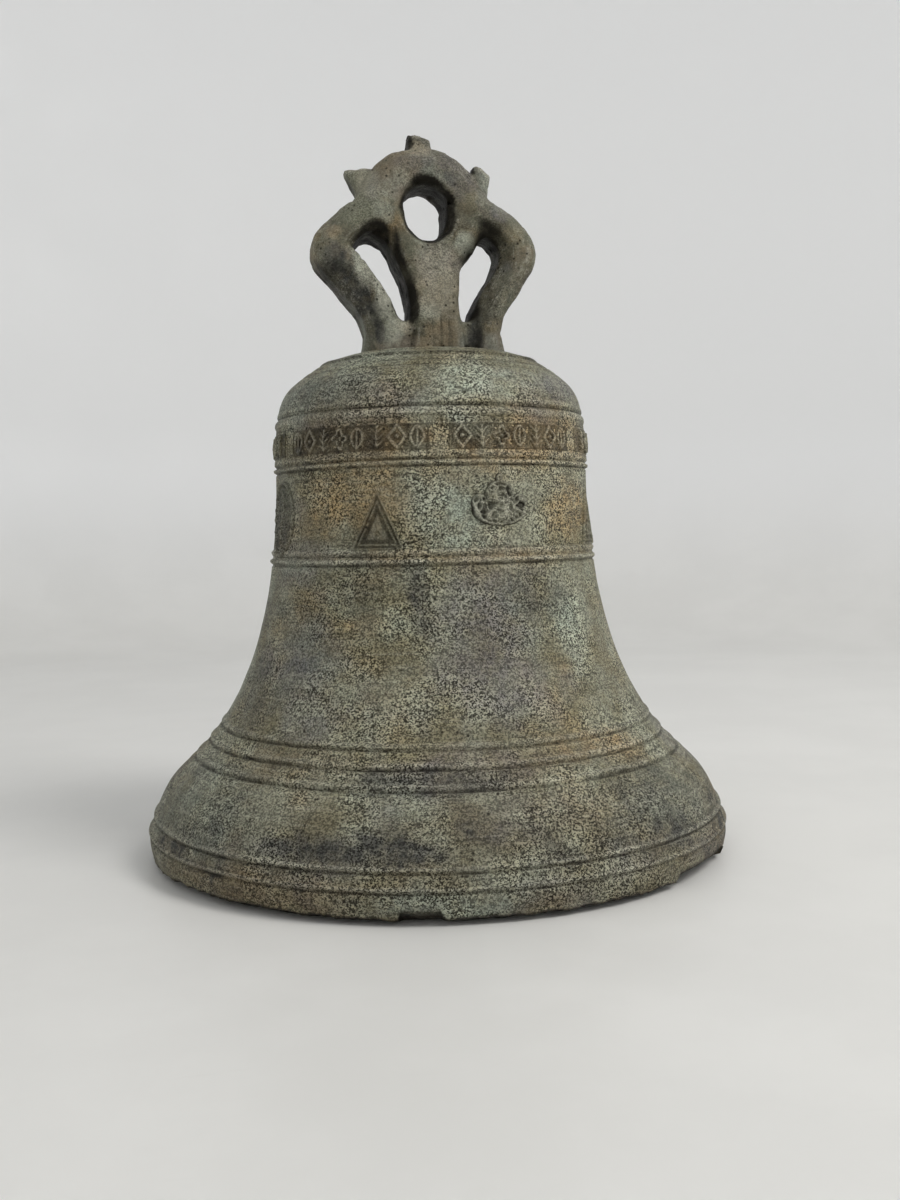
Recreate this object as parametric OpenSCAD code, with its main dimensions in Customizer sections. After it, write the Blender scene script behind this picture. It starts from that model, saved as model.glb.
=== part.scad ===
// Small church bell on its lip, with its canons and its clapper.
// Millimetres, +Z up, origin at the centre of the plane the lip rests on.
// The canons spread along X, so the bell and its clapper swing about X.

/* [Bell] */
// Diameter over the widest part of the lip
lip_d = 361; // [350:1:375]
// Height from the resting edge to the top of the crown plate
body_h = 306.5; // [300:0.5:315]
// Wall of the waist, measured level
waist_wall = 10.5; // [9:0.5:13]
// Extra wall of the sound bow over the waist
bow_extra = 21; // [18:0.5:26]
// Thickness of the crown plate
head_t = 14.5; // [13:0.5:16]
// Width of the ring that touches the floor
rest_w = 12; // [8:0.5:16]

/* [Mouldings and reliefs] */
// How far the cast bands stand out from the wall
band_h = 1.5; // [0.8:0.1:2.2]
// How far the plaques stand out from the wall
plaque_h = 1.3; // [0.8:0.1:1.8]
// Height of a plaque
plaque_size = 36; // [28:1:40]

/* [Crown] */
// Height of the crown from the plate to the top of the ring
crown_h = 128; // [120:1:136]
// Depth of the canons and the ring, front to back
crown_depth = 41; // [34:1:44]
// Outside radius of the ring round the eye
ring_r = 42; // [40:0.5:43]
// Half width of the eye
eye_half_w = 13.2; // [11:0.2:15]
// Half height of the eye
eye_half_h = 17.6; // [15:0.2:19]

/* [Clapper] */
// Height of the pivot over the floor
pivot_z = 276; // [274:0.5:278]
// Radius of the clapper's ball
ball_r = 22; // [18:0.5:24]
// Height of the ball's centre over the floor
ball_z = 33; // [31:0.5:36]
// Radius of the clapper's shaft at the ball
shaft_r = 7.5; // [6:0.5:9]

/* [Pivot] */
// Radius of the pivot bolt
bolt_r = 5; // [4:0.5:6]
// Running clearance of the bush on the bolt
running = 0.06; // [0.02:0.01:0.1]
// Wall of the leather bush
bush_wall = 3.1; // [2:0.1:4]
// Half thickness of the clapper's eye
eye_half_t = 8; // [7:0.5:9]
// Thickness of a leather cheek washer
cheek_t = 1.8; // [1.2:0.1:2.4]
// Thickness of each leg of the staple
leg_t = 7; // [6:0.5:9]
// Width of the staple's flat bar
leg_w = 24; // [20:1:28]

/* [Hidden] */
$fn = 96;

slack = 0.1;                          // play at each side of a loose leather washer
nominal_lip_r = 180.5;                // the outline below is drawn at this lip radius
nominal_body_h = 306.5;               // and at this height
rs = lip_d / 2 / nominal_lip_r;       // radius scale
zs = body_h / nominal_body_h;         // height scale

// Outside of the bell as [height, radius], from the resting edge to the crown plate
OUTLINE = [[0, 170.5], [2.5, 175.6], [7, 178.8], [13, 180.5], [19, 180], [25, 177.9],
           [36, 173.3], [46, 168], [52, 162.8], [57, 157.6], [68, 146.2], [79, 137.2],
           [90, 129.9], [104, 122.2], [122, 114.6], [140, 109], [158, 104.9], [176, 102],
           [194, 99.6], [212, 98], [230, 97.4], [248, 97.3], [262, 96.4], [273, 94.6],
           [280, 92.2], [286, 88.2], [293, 80], [299, 71]];

// Cast bands as [height, half width, share of band_h]
BANDS = [[19, 1.8, 0.7], [28.3, 1.8, 0.8],
         [63, 1.8, 0.9], [72.8, 2.2, 1], [82.2, 2.2, 1],
         [181.7, 1.8, 1], [187.3, 1.5, 0.8],
         [235.4, 1.8, 1], [240, 1.3, 0.7],
         [259.4, 1.3, 0.7], [266.8, 2, 1],
         [292.8, 1, 0.4], [296.4, 1, 0.4]];

// Wall thickness as [height, share of bow_extra over the waist]; the foot adds rest_w
BOW = [[12, 0.76], [30, 0.81], [46, 1], [52, 0.96], [60, 0.77], [68, 0.56], [82, 0.37],
       [98, 0.22], [118, 0.1], [156, 0.02], [230, 0], [262, 0.04]];

function slope(i) =
    let (last = len(OUTLINE) - 1, a = OUTLINE[max(i - 1, 0)], b = OUTLINE[min(i + 1, last)])
    (b[1] - a[1]) / (b[0] - a[0]);

function segment(z) = max([for (i = [0 : len(OUTLINE) - 2]) if (z >= OUTLINE[i][0]) i]);

// Smooth radius of the plain outline at height z of the drawn bell (cubic Hermite)
function plain_r(z) =
    let (i = segment(z), a = OUTLINE[i], b = OUTLINE[i + 1], h = b[0] - a[0], t = (z - a[0]) / h)
    (2 * t ^ 3 - 3 * t ^ 2 + 1) * a[1] + (t ^ 3 - 2 * t ^ 2 + t) * h * slope(i)
    + (3 * t ^ 2 - 2 * t ^ 3) * b[1] + (t ^ 3 - t ^ 2) * h * slope(i + 1);

function band_at(z) =
    max([0, for (b = BANDS) let (u = abs(z - b[0]) / b[1]) u < 1 ? b[2] * (1 - u * u) : 0]);

function outer_r(z) = plain_r(z) + band_h * band_at(z);

function wall(z) =
    z < 12 ? rest_w + (waist_wall + bow_extra * 0.76 - rest_w) * sin(90 * z / 12)
           : waist_wall + bow_extra * lookup(z, BOW);

outline_top = 299;
inner_top = 262;
// Heights at which the outside is drawn: a regular step, and closer across every band
step = 7;
OUTER_Z = [for (i = [0 : len(OUTLINE) - 2])
               let (a = OUTLINE[i][0], b = OUTLINE[i + 1][0], n = ceil((b - a) / step))
               for (k = [0 : n - 1]) let (z = a + (b - a) * k / n)
                   if (band_at(z) == 0) z];
BAND_Z = [for (b = BANDS, u = [-1, -0.6, 0, 0.6, 1]) b[0] + u * b[1]];
INNER_Z = [0, 2, 4, 7, 12, 21, 30, 38, 46, 52, 60, 68, 75, 82, 98, 118, 137, 156, 193, 230, 262];

function sorted(list) =
    len(list) <= 1 ? list :
    let (pivot = list[floor(len(list) / 2)])
    concat(sorted([for (v = list) if (v < pivot) v]), [pivot],
           sorted([for (v = list) if (v > pivot) v]));

head_under = body_h - head_t;         // height of the crown plate's underside
top_r = 52;                           // flat middle of the crown plate
plate_r = 68.5;                       // stepped edge of the crown plate
plate_step = 2.2;                     // height of that step
plate_round = 0.6;                    // rounding at its top and foot

function shell_outline() =
    let (inner_r = rs * (plain_r(inner_top) - wall(inner_top)), z0 = zs * inner_top)
    concat(
        [for (z = sorted(concat(OUTER_Z, BAND_Z))) [rs * outer_r(z), zs * z]],
        [[rs * (plate_r + 2), zs * outline_top],
         [rs * (plate_r + plate_round), zs * outline_top],
         [rs * plate_r, zs * (outline_top + plate_step)],
         [rs * (plate_r - 2), zs * (outline_top + plate_step + plate_round)],
         [rs * top_r, body_h], [0, body_h], [0, head_under]],
        [for (a = [90 : -7.5 : 7.5])
             [inner_r * pow(cos(a), 0.8), z0 + (head_under - z0) * pow(sin(a), 0.8)]],
        [for (i = [len(INNER_Z) - 1 : -1 : 0])
             let (z = INNER_Z[i]) [rs * (plain_r(z) - wall(z)), zs * z]]);

// Plaque faces, upright in the XY plane, height 1
function triangle_face() = [[-0.38, -0.5], [0.38, -0.5], [0, 0.5]];
function oval_face() = [for (a = [0 : 15 : 345]) [0.3 * cos(a), 0.5 * sin(a)]];
function lobed_face() =
    [for (a = [0 : 10 : 350]) let (r = 0.34 + 0.06 * sin(3 * a)) [r * cos(a) * 1.05, r * sin(a) - 0.1]];
// Plaques as [bearing from the front, kind]
PLAQUES = [[-75, 0], [-28, 1], [13, 2], [62, 1], [105, 0], [152, 1], [193, 2], [242, 1]];
function face(kind) = kind == 0 ? oval_face() : kind == 1 ? triangle_face() : lobed_face();
plaque_z = [205.5, 201, 205];         // height of each kind's centre
plaque_scale = [1.1, 0.85, 0.85];     // size of each kind against plaque_size

module plaque(bearing, kind) {
    rotate([0, 0, bearing])
        translate([0, 0, zs * plaque_z[kind]])
            rotate([90, 0, 0])
                linear_extrude(height = lip_d / 3)
                    scale(plaque_size * plaque_scale[kind])
                        polygon(face(kind));
}

module plaque_layer() {
    low = 183;
    high = 231;
    span = [low : 8 : high];
    rotate_extrude()
        polygon(concat([for (z = span) [rs * plain_r(z) + plaque_h, zs * z]],
                       [[rs * plain_r(high) - 3, zs * high], [rs * plain_r(low) - 3, zs * low]]));
}

module bell_body() {
    color("darkolivegreen") {
        difference() {
            rotate_extrude() polygon(shell_outline());
            staple_bar();
        }
        intersection() {
            plaque_layer();
            union() for (p = PLAQUES) plaque(p[0], p[1]);
        }
    }
}

// Crown: one casting with the bell, standing on the middle of the plate
cz = body_h;
eye = [-2.3, cz + crown_h - ring_r + 1.5];
ring_half = 13;                       // half width of the ring's limb
// Limbs as [x, height over the plate, half width]
LEFT_CANON = [[-30.5, 0, 12.5], [-30.5, 15, 12.2], [-38, 31, 12.6], [-49, 48, 13],
              [-58, 65.5, 13.8], [-47.5, 80, 13], [-30, 93, 13]];
RIGHT_CANON = [[35.5, 0, 12.5], [34.5, 16, 12], [40, 32, 11.6], [49.5, 47, 12],
               [56, 64, 13.8], [48.5, 78, 13.6], [29, 92, 13]];
STEM = [[2.3, 0, 20], [2.3, 24, 17.8], [0.5, 46, 20], [-2.3, 66, 27]];
RING = let (r = ring_r - ring_half) [for (a = [-10 : 25 : 190])
           [eye[0] + r * cos(a), eye[1] - cz + r * sin(a), ring_half]];
// Broken casting gates as [x, height, half width at the root, half width at the break, lean]
GATES = [[-3.5, 127.5, 8.5, 7.6, 0], [-38, 107, 8, 5.6, -32], [35, 109, 7.5, 5.2, 28]];
edge = 6;                             // bevel of a limb's front and back edges

// A disc across the crown with bevelled edges: the limbs are drawn through these
module bead(x, z, r, half_depth) {
    translate([x, 0, z])
        rotate([90, 0, 0])
            rotate_extrude($fn = 32)
                polygon([[0, -half_depth], [r - edge, -half_depth], [r, edge - half_depth],
                         [r, half_depth - edge], [r - edge, half_depth], [0, half_depth]]);
}

module limb(path, half_depth) {
    for (i = [0 : len(path) - 2])
        hull()
            for (p = [path[i], path[i + 1]])
                bead(p[0], cz + p[1], p[2], half_depth);
}

module eye_cutter() {
    flare = 3;                        // the eye widens to its two mouths
    translate([eye[0], 0, eye[1]])
        rotate([90, 0, 0])
            for (side = [-1, 1])
                hull() {
                    scale([eye_half_w, eye_half_h, 1])
                        cylinder(h = 0.1, r = 1, $fn = 40, center = true);
                    translate([0, 0, side * crown_depth / 4])
                        scale([eye_half_w, eye_half_h, 1])
                            cylinder(h = 0.1, r = 1, $fn = 40, center = true);
                    translate([0, 0, side * (crown_depth / 2 + 0.1)])
                        scale([eye_half_w + flare, eye_half_h + flare, 1])
                            cylinder(h = 0.1, r = 1, $fn = 40, center = true);
                }
}

module gate(x, z, root, tip, lean) {
    length = 15;
    translate([x, 0, cz + z - length / 3])
        rotate([0, lean, 0])
            hull() {
                cube([2 * root, 20, 0.1], center = true);
                translate([0, 0, length])
                    cube([2 * tip, 15, 0.1], center = true);
            }
}

module crown() {
    color("darkslategray")
        intersection() {
            difference() {
                union() {
                    limb(LEFT_CANON, crown_depth / 2);
                    limb(RIGHT_CANON, crown_depth / 2);
                    limb(STEM, crown_depth / 2 - 1);
                    limb(RING, crown_depth / 2);
                    for (g = GATES) gate(g[0], g[1], g[2], g[3], g[4]);
                    // web that fills the roots of the canons
                    translate([-32, -crown_depth / 2 + 5, cz])
                        cube([68, crown_depth - 10, 23]);
                }
                eye_cutter();
            }
            // cut level with the crown plate
            translate([-lip_d / 2, -lip_d / 2, cz])
                cube([lip_d, lip_d, 2 * crown_h]);
        }
}

// Staple: a flat bar bent to a U, its bow cast into the crown plate
gap_half = eye_half_t + cheek_t + 2 * slack;
leg_out = gap_half + leg_t;
bow_t = 6;
bow_top = head_under + 10;

module across(from, to) {
    translate([from, 0, pivot_z])
        rotate([90, 0, 90])
            linear_extrude(height = to - from)
                children();
}

module staple_bar() {
    rise = bow_top - pivot_z;
    for (side = [-1, 1])
        across(side > 0 ? gap_half : -leg_out, side > 0 ? leg_out : -gap_half) {
            circle(d = leg_w);
            translate([-leg_w / 2, 0])
                square([leg_w, rise]);
        }
    across(-leg_out, leg_out)
        translate([-leg_w / 2, rise - bow_t])
            square([leg_w, bow_t]);
}

module crown_staple() {
    color("saddlebrown")
        difference() {
            staple_bar();
            across(-leg_out - 1, leg_out + 1)
                circle(r = bolt_r + slack);
        }
}

// Clapper: eye, shaft, ball and a short flight, forged in one
eye_r = 15;
flight_r = 8;
flight_end = 4;                       // clearance of the flight over the floor

module clapper() {
    neck_z = pivot_z - eye_r - 12;
    color("dimgray")
        difference() {
            union() {
                across(-eye_half_t, eye_half_t) circle(r = eye_r);
                translate([0, 0, neck_z])
                    cylinder(h = pivot_z - neck_z, r = 7);
                translate([0, 0, ball_z])
                    cylinder(h = neck_z - ball_z, r1 = shaft_r, r2 = 5.5);
                translate([0, 0, neck_z - 8])
                    cylinder(h = 8, r1 = 5.5, r2 = 7);
                translate([0, 0, ball_z])
                    sphere(r = ball_r);
                translate([0, 0, flight_end])
                    cylinder(h = 2, r1 = flight_r - 2, r2 = flight_r);
                translate([0, 0, flight_end + 2])
                    cylinder(h = ball_z - flight_end - 2, r = flight_r);
            }
            across(-eye_half_t - 1, eye_half_t + 1)
                circle(r = bolt_r + running + bush_wall);
        }
}

module clapper_bush() {
    color("peru")
        across(-eye_half_t, eye_half_t)
            difference() {
                circle(r = bolt_r + running + bush_wall);
                circle(r = bolt_r + running);
            }
}

module cheek_washers() {
    color("peru")
        for (side = [-1, 1])
            across(side > 0 ? eye_half_t + slack : -eye_half_t - slack - cheek_t,
                   side > 0 ? eye_half_t + slack + cheek_t : -eye_half_t - slack)
                difference() {
                    circle(r = 12);
                    circle(r = bolt_r + slack);
                }
}

// Pivot bolt through both legs, with its washer, nut and split pin
head_w = 16;
head_h = 6;
washer_t = 2;
nut_w = 17;
nut_t = 8;
nut_end = leg_out + washer_t + nut_t;
pin_x = nut_end + 3;
bolt_end = pin_x + 4;
pin_r = 1.2;

module square_forged(width) {
    intersection() {
        square(width, center = true);
        circle(r = width * 0.64);
    }
}

module pivot_bolt() {
    color("slategray")
        difference() {
            union() {
                across(-leg_out - head_h, -leg_out) square_forged(head_w);
                across(-leg_out, bolt_end) circle(r = bolt_r);
            }
            translate([pin_x, 0, pivot_z])
                rotate([90, 0, 0])
                    cylinder(h = 4 * bolt_r, r = pin_r + slack, center = true);
        }
}

module bolt_washer() {
    color("gray")
        across(leg_out, leg_out + washer_t)
            difference() {
                circle(r = 10.5);
                circle(r = bolt_r + 3 * slack);
            }
}

module bolt_nut() {
    color("slategray")
        across(leg_out + washer_t, nut_end)
            difference() {
                square_forged(nut_w);
                circle(r = bolt_r + slack / 2);
            }
}

module split_pin() {
    head = 3;                         // radius of the pin's bent eye
    reach = bolt_r + 1.5;
    color("silver")
        translate([pin_x, 0, pivot_z]) {
            rotate([90, 0, 0])
                cylinder(h = 2 * reach, r = pin_r, center = true);
            translate([0, -reach - head + 0.4, 0])
                rotate([0, 90, 0])
                    rotate_extrude()
                        translate([head - 0.6, 0]) circle(r = 0.9, $fn = 24);
            for (side = [-1, 1])
                translate([0, reach - 0.5, side * 0.5])
                    rotate([-90 + side * 40, 0, 0])
                        cylinder(h = 7, r = 0.7);
        }
}

bell_body();
crown();
crown_staple();
clapper();
clapper_bush();
cheek_washers();
pivot_bolt();
bolt_washer();
bolt_nut();
split_pin();
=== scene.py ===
import math

import bpy
import numpy as np
from mathutils import Matrix, Vector


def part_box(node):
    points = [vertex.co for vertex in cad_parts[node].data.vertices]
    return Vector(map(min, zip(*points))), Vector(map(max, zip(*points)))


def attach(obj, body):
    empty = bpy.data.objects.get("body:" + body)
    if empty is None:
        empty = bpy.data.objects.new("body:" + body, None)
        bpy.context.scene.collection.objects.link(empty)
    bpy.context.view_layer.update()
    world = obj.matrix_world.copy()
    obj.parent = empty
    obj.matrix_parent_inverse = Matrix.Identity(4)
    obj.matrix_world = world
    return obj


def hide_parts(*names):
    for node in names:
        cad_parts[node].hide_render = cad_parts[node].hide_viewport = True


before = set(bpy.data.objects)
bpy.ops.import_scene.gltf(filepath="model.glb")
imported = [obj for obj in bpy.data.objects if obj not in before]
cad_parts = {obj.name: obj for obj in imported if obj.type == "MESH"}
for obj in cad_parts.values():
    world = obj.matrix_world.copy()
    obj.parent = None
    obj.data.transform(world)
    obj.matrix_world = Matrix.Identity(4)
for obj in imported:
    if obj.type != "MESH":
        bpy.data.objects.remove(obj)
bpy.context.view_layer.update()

# A small bronze church bell that stands on its lip, with its crown, clapper and pivot.
# Lengths are in millimetres until a mesh is made. A bearing is in degrees from the front (-Y)
# towards +X, seen from above.

MM = 0.001
FULL_TURN = 360.0


# ---------------- repeatable noise

HASH = [np.uint32(n) for n in (374761393, 668265263, 2246822519, 3266489917, 1274126177)]


def cell_value(cell, seed):
    """A repeatable number from -1 to 1 for each whole-number cell."""
    c = cell.astype(np.int64).astype(np.uint32)
    n = c[..., 0] * HASH[0] + c[..., 1] * HASH[1] + c[..., 2] * HASH[2] + np.uint32(seed) * HASH[3]
    n = (n ^ (n >> np.uint32(15))) * HASH[4]
    n = (n ^ (n >> np.uint32(13))) * HASH[2]
    n = n ^ (n >> np.uint32(16))
    return n.astype(float) / (2**31 - 0.5) - 1


def noise(points, size, seed):
    """Smooth noise from -1 to 1 whose features are about size long."""
    p = points / np.asarray(size, float)
    base = np.floor(p)
    t = p - base
    t = t * t * (3 - 2 * t)
    total = 0
    for corner in np.ndindex(2, 2, 2):
        weight = np.prod(np.where(corner, t, 1 - t), axis=-1)
        total = total + weight * cell_value(base + corner, seed)
    return total


def layers(points, *parts):
    """Sum of noises, each given as [strength, size, seed]."""
    return sum(strength * noise(points, size, seed) for strength, size, seed in parts)


def ramp(value, low, high):
    """0 below low, 1 above high, and smooth between them."""
    t = np.clip((value - low) / (high - low), 0, 1)
    return t * t * (3 - 2 * t)


def ridge(distance, half_width):
    """1 on a line and 0 from half_width off it."""
    return ramp(half_width - np.abs(distance), 0, half_width)


def turn_between(a, b):
    """The shorter turn from bearing b to bearing a, in degrees."""
    return (a - b + FULL_TURN / 2) % FULL_TURN - FULL_TURN / 2


# ---------------- the bell's outline

# Plain outside as [height, radius], from the resting edge to the foot of the crown plate
OUTLINE = np.array([
    [0, 177.3], [2.5, 178.3], [7, 179.6], [13, 180.5], [19, 180], [25, 177.9], [36, 173.3],
    [46, 168], [52, 162.8], [57, 157.6], [68, 146.2], [79, 137.2], [90, 129.9], [104, 122.2],
    [122, 114.6], [140, 109], [158, 104.9], [176, 102], [194, 99.6], [212, 98], [230, 97.4],
    [248, 97.3], [262, 96.4], [273, 94.6], [280, 92.2], [286, 88.2], [293, 80], [299, 71],
])
OUTLINE_TOP = 299
# Wall thickness as [height, millimetres], up to where the inside closes over
WALL = np.array([
    [0, 18.8], [4, 24], [12, 26.5], [30, 27.5], [46, 31.5], [52, 30.7], [60, 26.7], [68, 22.3],
    [82, 18.3], [98, 15.1], [118, 12.6], [156, 10.9], [230, 10.5], [262, 11.3],
])
DOME_FOOT = 262
DOME_TOP = 292
DOME_SHAPE = 0.8
# Stepped edge and top of the crown plate as [radius, height]
PLATE = [[70.2, 299.1], [69.2, 299.2], [68.7, 300.2], [68.4, 301.1], [67.7, 301.8], [66.5, 302],
         [62.5, 303.2], [59, 304.3], [55.5, 305.4], [52.5, 306.2], [50, 306.5]]
PLATE_MIDDLE = [[44, 306.5], [36, 306.5], [24, 306.5], [12, 306.5]]

# Mouldings as [height, half width, how far they stand out]; a groove is below 0
MOULDINGS = [
    [18.8, 1.3, 1.2], [16.9, 0.8, -0.9], [28.3, 1.3, 1.2], [26.3, 0.8, -0.9],
    [58.9, 0.9, 0.4], [57.8, 0.6, -0.4], [64.4, 1.3, 0.8], [62.5, 0.8, -0.85],
    [74.0, 1.4, 0.9], [72.0, 0.8, -0.9], [83.4, 1.5, 0.9], [81.3, 0.9, -1.0],
    [181.1, 1.5, 1.5], [178.9, 0.9, -0.7], [184.0, 0.7, -0.4], [186.2, 1.2, 1.25],
    [188.0, 0.7, -0.6], [234.4, 0.9, -0.8], [236.2, 1.2, 1.35], [238.1, 0.8, -0.7],
    [239.8, 0.9, 0.8], [241.0, 0.5, -0.4], [242.0, 0.7, 0.6], [259.9, 0.7, 0.6],
    [264.4, 2.3, 1.1], [267.8, 0.9, -0.9], [270.4, 1.6, 0.35], [292.4, 0.8, -0.4],
    [296.0, 0.8, -0.4],
]
PROUDEST = max(m[2] for m in MOULDINGS)


def smooth_line(points, at):
    """Cubic line through points [place, value], read at other places."""
    x, v = points[:, 0], points[:, 1]
    last = len(x) - 1
    here = np.arange(last + 1)
    before = np.maximum(here - 1, 0)
    after = np.minimum(here + 1, last)
    slope = (v[after] - v[before]) / (x[after] - x[before])
    i = np.clip(np.searchsorted(x, at, side="right") - 1, 0, last - 1)
    span = x[i + 1] - x[i]
    t = (at - x[i]) / span
    return ((2 * t**3 - 3 * t**2 + 1) * v[i] + (t**3 - 2 * t**2 + t) * span * slope[i]
            + (3 * t**2 - 2 * t**3) * v[i + 1] + (t**3 - t**2) * span * slope[i + 1])


def outline_radius(z):
    return smooth_line(OUTLINE, z)


def round_bearings(columns):
    return np.arange(columns) * FULL_TURN / columns


def outward(z):
    """Radial and upward parts of the outline's normal at height z."""
    gap = 0.5
    low = np.clip(z - gap, 0, OUTLINE_TOP)
    high = np.clip(z + gap, 0, OUTLINE_TOP)
    lean = (outline_radius(high) - outline_radius(low)) / (high - low)
    size = np.hypot(1, lean)
    return 1 / size, -lean / size


def ring_point(bearing, radius, z):
    a = np.radians(bearing)
    return np.stack([radius * np.sin(a), -radius * np.cos(a), z + 0 * a], axis=-1)


def moulding_parts(bearing, z):
    """How far the mouldings stand out, and how much each point is darkened: a painted shadow under
    each raised moulding, and dirt and painted shade in each groove.
    """
    spot = ring_point(bearing, 100, z)
    waver = layers(spot, [0.25, 40, 11], [0.14, 6, 12])
    out = np.zeros_like(spot[..., 0])
    grime_and_shade = np.zeros_like(out)
    for number, (height, half_width, proud) in enumerate(MOULDINGS):
        away = z + waver - height
        worn = 0.85 + 0.25 * noise(spot, 14, 20 + number)
        flat = np.clip(1.6 * ridge(away, half_width * 1.25), 0, 1)
        out = out + proud * worn * flat
        # Painted shadow under each raised moulding; dirt and painted shade in each groove.
        painted_shadow_and_groove = 0.7 * ridge(away + half_width, 0.7) if proud > 0 else ridge(away, half_width * 1.1)
        filled = np.clip(0.7 + 0.7 * noise(spot, 15, 120 + number), 0.15, 1)
        grime_and_shade = np.maximum(grime_and_shade, painted_shadow_and_groove * filled)
    return out, grime_and_shade


def cast_waves(points):
    """Slow unevenness of the cast surface."""
    return layers(points, [0.3, 34, 1], [0.14, 11, 2], [0.05, 4, 3])


def skin(bearing, z, relief=0.0):
    """Points on the outside of the bell, moved out by relief."""
    radius = outline_radius(z)
    plain = ring_point(bearing, radius, z)
    moulded, grime_and_shade = moulding_parts(bearing, z)
    out = moulded + relief + cast_waves(plain)
    across, up = outward(z)
    return ring_point(bearing, radius + across * out, z + up * out), moulded, grime_and_shade


# ---------------- where the patina changes

# Large stains on the bell as [bearing, height, half width in degrees, half height,
# brown, violet, verdigris, dark]
STAINS = [
    [30, 250, 44, 19, 0.9, 0.1, 0, 0], [-40, 248, 32, 15, 0.9, 0, 0, 0.15],
    [-38, 214, 21, 22, 0.75, 0, 0, 0], [44, 210, 16, 22, 0.7, 0, 0, 0],
    [2, 184, 78, 4, 0.55, 0, 0, 0.1], [-4, 210, 14, 26, 0, 0.15, 0.5, 0],
    [-78, 214, 14, 30, 0, 0, 0.1, 0.25], [9, 152, 20, 34, 0, 0.6, 0, 0.15],
    [34, 138, 6, 22, 0, 0.2, 0.45, 0], [8, 112, 22, 24, 0.1, 0.55, 0, 0.12],
    [-14, 164, 4, 22, 0.1, 0.1, 0, 0.8], [-52, 128, 14, 26, 0, 0.45, 0.1, 0.25],
    [-34, 146, 10, 7, 0.6, 0, 0, 0], [-70, 106, 14, 30, 0, 0.2, 0, 0.3],
    [60, 130, 18, 40, 0.3, 0, 0.2, 0.14], [34, 76, 16, 10, 0.75, 0.1, 0, 0],
    [0, 72, 22, 12, 0.35, 0.4, 0, 0.1], [-46, 72, 22, 12, 0.35, 0, 0, 0.2],
    [-24, 36, 18, 8, 0, 0.4, 0, 1], [-69, 23, 11, 4, 0.8, 0, 0, 0.6], [70, 36, 5, 6, 1, 0, 0, 0],
    [-12, 66, 26, 8, 0, 0.3, 0, 0.6], [-44, 249, 25, 11, 0.8, 0, 0, 0.65],
    [6, 50, 26, 14, 0.2, 0.2, 0, 0.25], [40, 46, 18, 18, 0, 0.1, 0.4, 0.12],
    [-44, 14, 26, 12, 0.7, 0, 0, 0.2], [-12, 12, 14, 8, 0, 0, 0.7, 0],
    [62, 14, 20, 14, 0.95, 0, 0, 0.45], [-66, 40, 20, 26, 0, 0, 0.25, 0.1],
    [12, 284, 26, 12, 0, 0, 0.6, 0], [46, 280, 18, 10, 0.1, 0.7, 0, 0.2],
    [-50, 284, 26, 14, 0, 0, 0.2, 0.35], [140, 210, 40, 34, 0.4, 0, 0.1, 0],
    [196, 150, 24, 40, 0, 0.6, 0.1, 0.2], [250, 110, 30, 50, 0.1, 0.1, 0.5, 0],
    [160, 60, 36, 22, 0.5, 0.1, 0, 0.1], [226, 250, 40, 16, 0.7, 0, 0, 0.1],
]
STAIN_COLOURS = 4


def stain_weights(points, bearings):
    """Brown, violet, verdigris and dark, from 0 to 1, at each point."""
    heights = points[..., 2]
    weights = np.zeros(points.shape[:-1] + (STAIN_COLOURS,))
    edge = layers(points, [0.32, 16, 31], [0.22, 6, 32])
    for bearing, height, half_turn, half_height, *amounts in STAINS:
        away = turn_between(bearings, bearing) / half_turn
        far = np.hypot(away, (heights - height) / half_height)
        inside = ramp(1.25 - far + edge, 0, 0.9)
        weights = np.maximum(weights, inside[..., None] * np.array(amounts))
    for k in range(STAIN_COLOURS):
        wide = noise(points, (46, 46, 30), 40 + k)
        small = noise(points, (14, 14, 9), 50 + k)
        weights[..., k] += 0.42 * ramp(wide + 0.5 * small, 0.1, 0.9)
    low_down = ramp(78 - heights + 30 * edge, 0, 50)
    weights[..., 3] += 0.38 * low_down
    weights[..., 0] += 0.12 * low_down
    return np.clip(weights, 0, 1)


# ---------------- meshes

def new_object(name, vertices, faces, material):
    mesh = bpy.data.meshes.new(name)
    mesh.from_pydata((vertices * MM).tolist(), [], faces)
    mesh.validate()
    mesh.polygons.foreach_set("use_smooth", np.ones(len(mesh.polygons), bool))
    mesh.materials.append(material)
    piece = bpy.data.objects.new(name, mesh)
    bpy.context.scene.collection.objects.link(piece)
    return piece


def make_piece(name, vertices, faces, material):
    piece = new_object(name, vertices, faces, material)
    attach(piece, "bell")
    return piece


def set_mask(piece, name, values):
    layer = piece.data.attributes.new(name, "FLOAT", "POINT")
    layer.data.foreach_set("value", np.clip(values, 0, 1).astype(np.float32))


def set_stains(piece, weights):
    layer = piece.data.attributes.new("stains", "FLOAT_COLOR", "POINT")
    layer.data.foreach_set("color", weights.astype(np.float32).ravel())


# ---------------- bell body

LIP_COLUMNS = 720
BODY_COLUMNS = 360
LIP_ZONE = 13
ROW_STEP = 2.7
BREAK_ROWS = 5  # rows over the broken face of the lip
LIP_ROWS = 11  # rows from its edge up to LIP_ZONE
REST_INNER_R = 158.5
REST_OUTER_R = 169.5
BREAK_R = 171  # about the middle of the broken face
INSIDE_ROWS = (1, 2.2, 4, 7, 12, 18, 25, 32, *range(39, DOME_FOOT, 7))
DOME_DEGREES = (0, 8, 18, 29, 41, 53, 65, 75)
DOME_LAST = 83
MOULD_ROWS = (-1.5, -1.1, -0.75, -0.35, 0, 0.35, 0.75, 1.1, 1.5)

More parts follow.
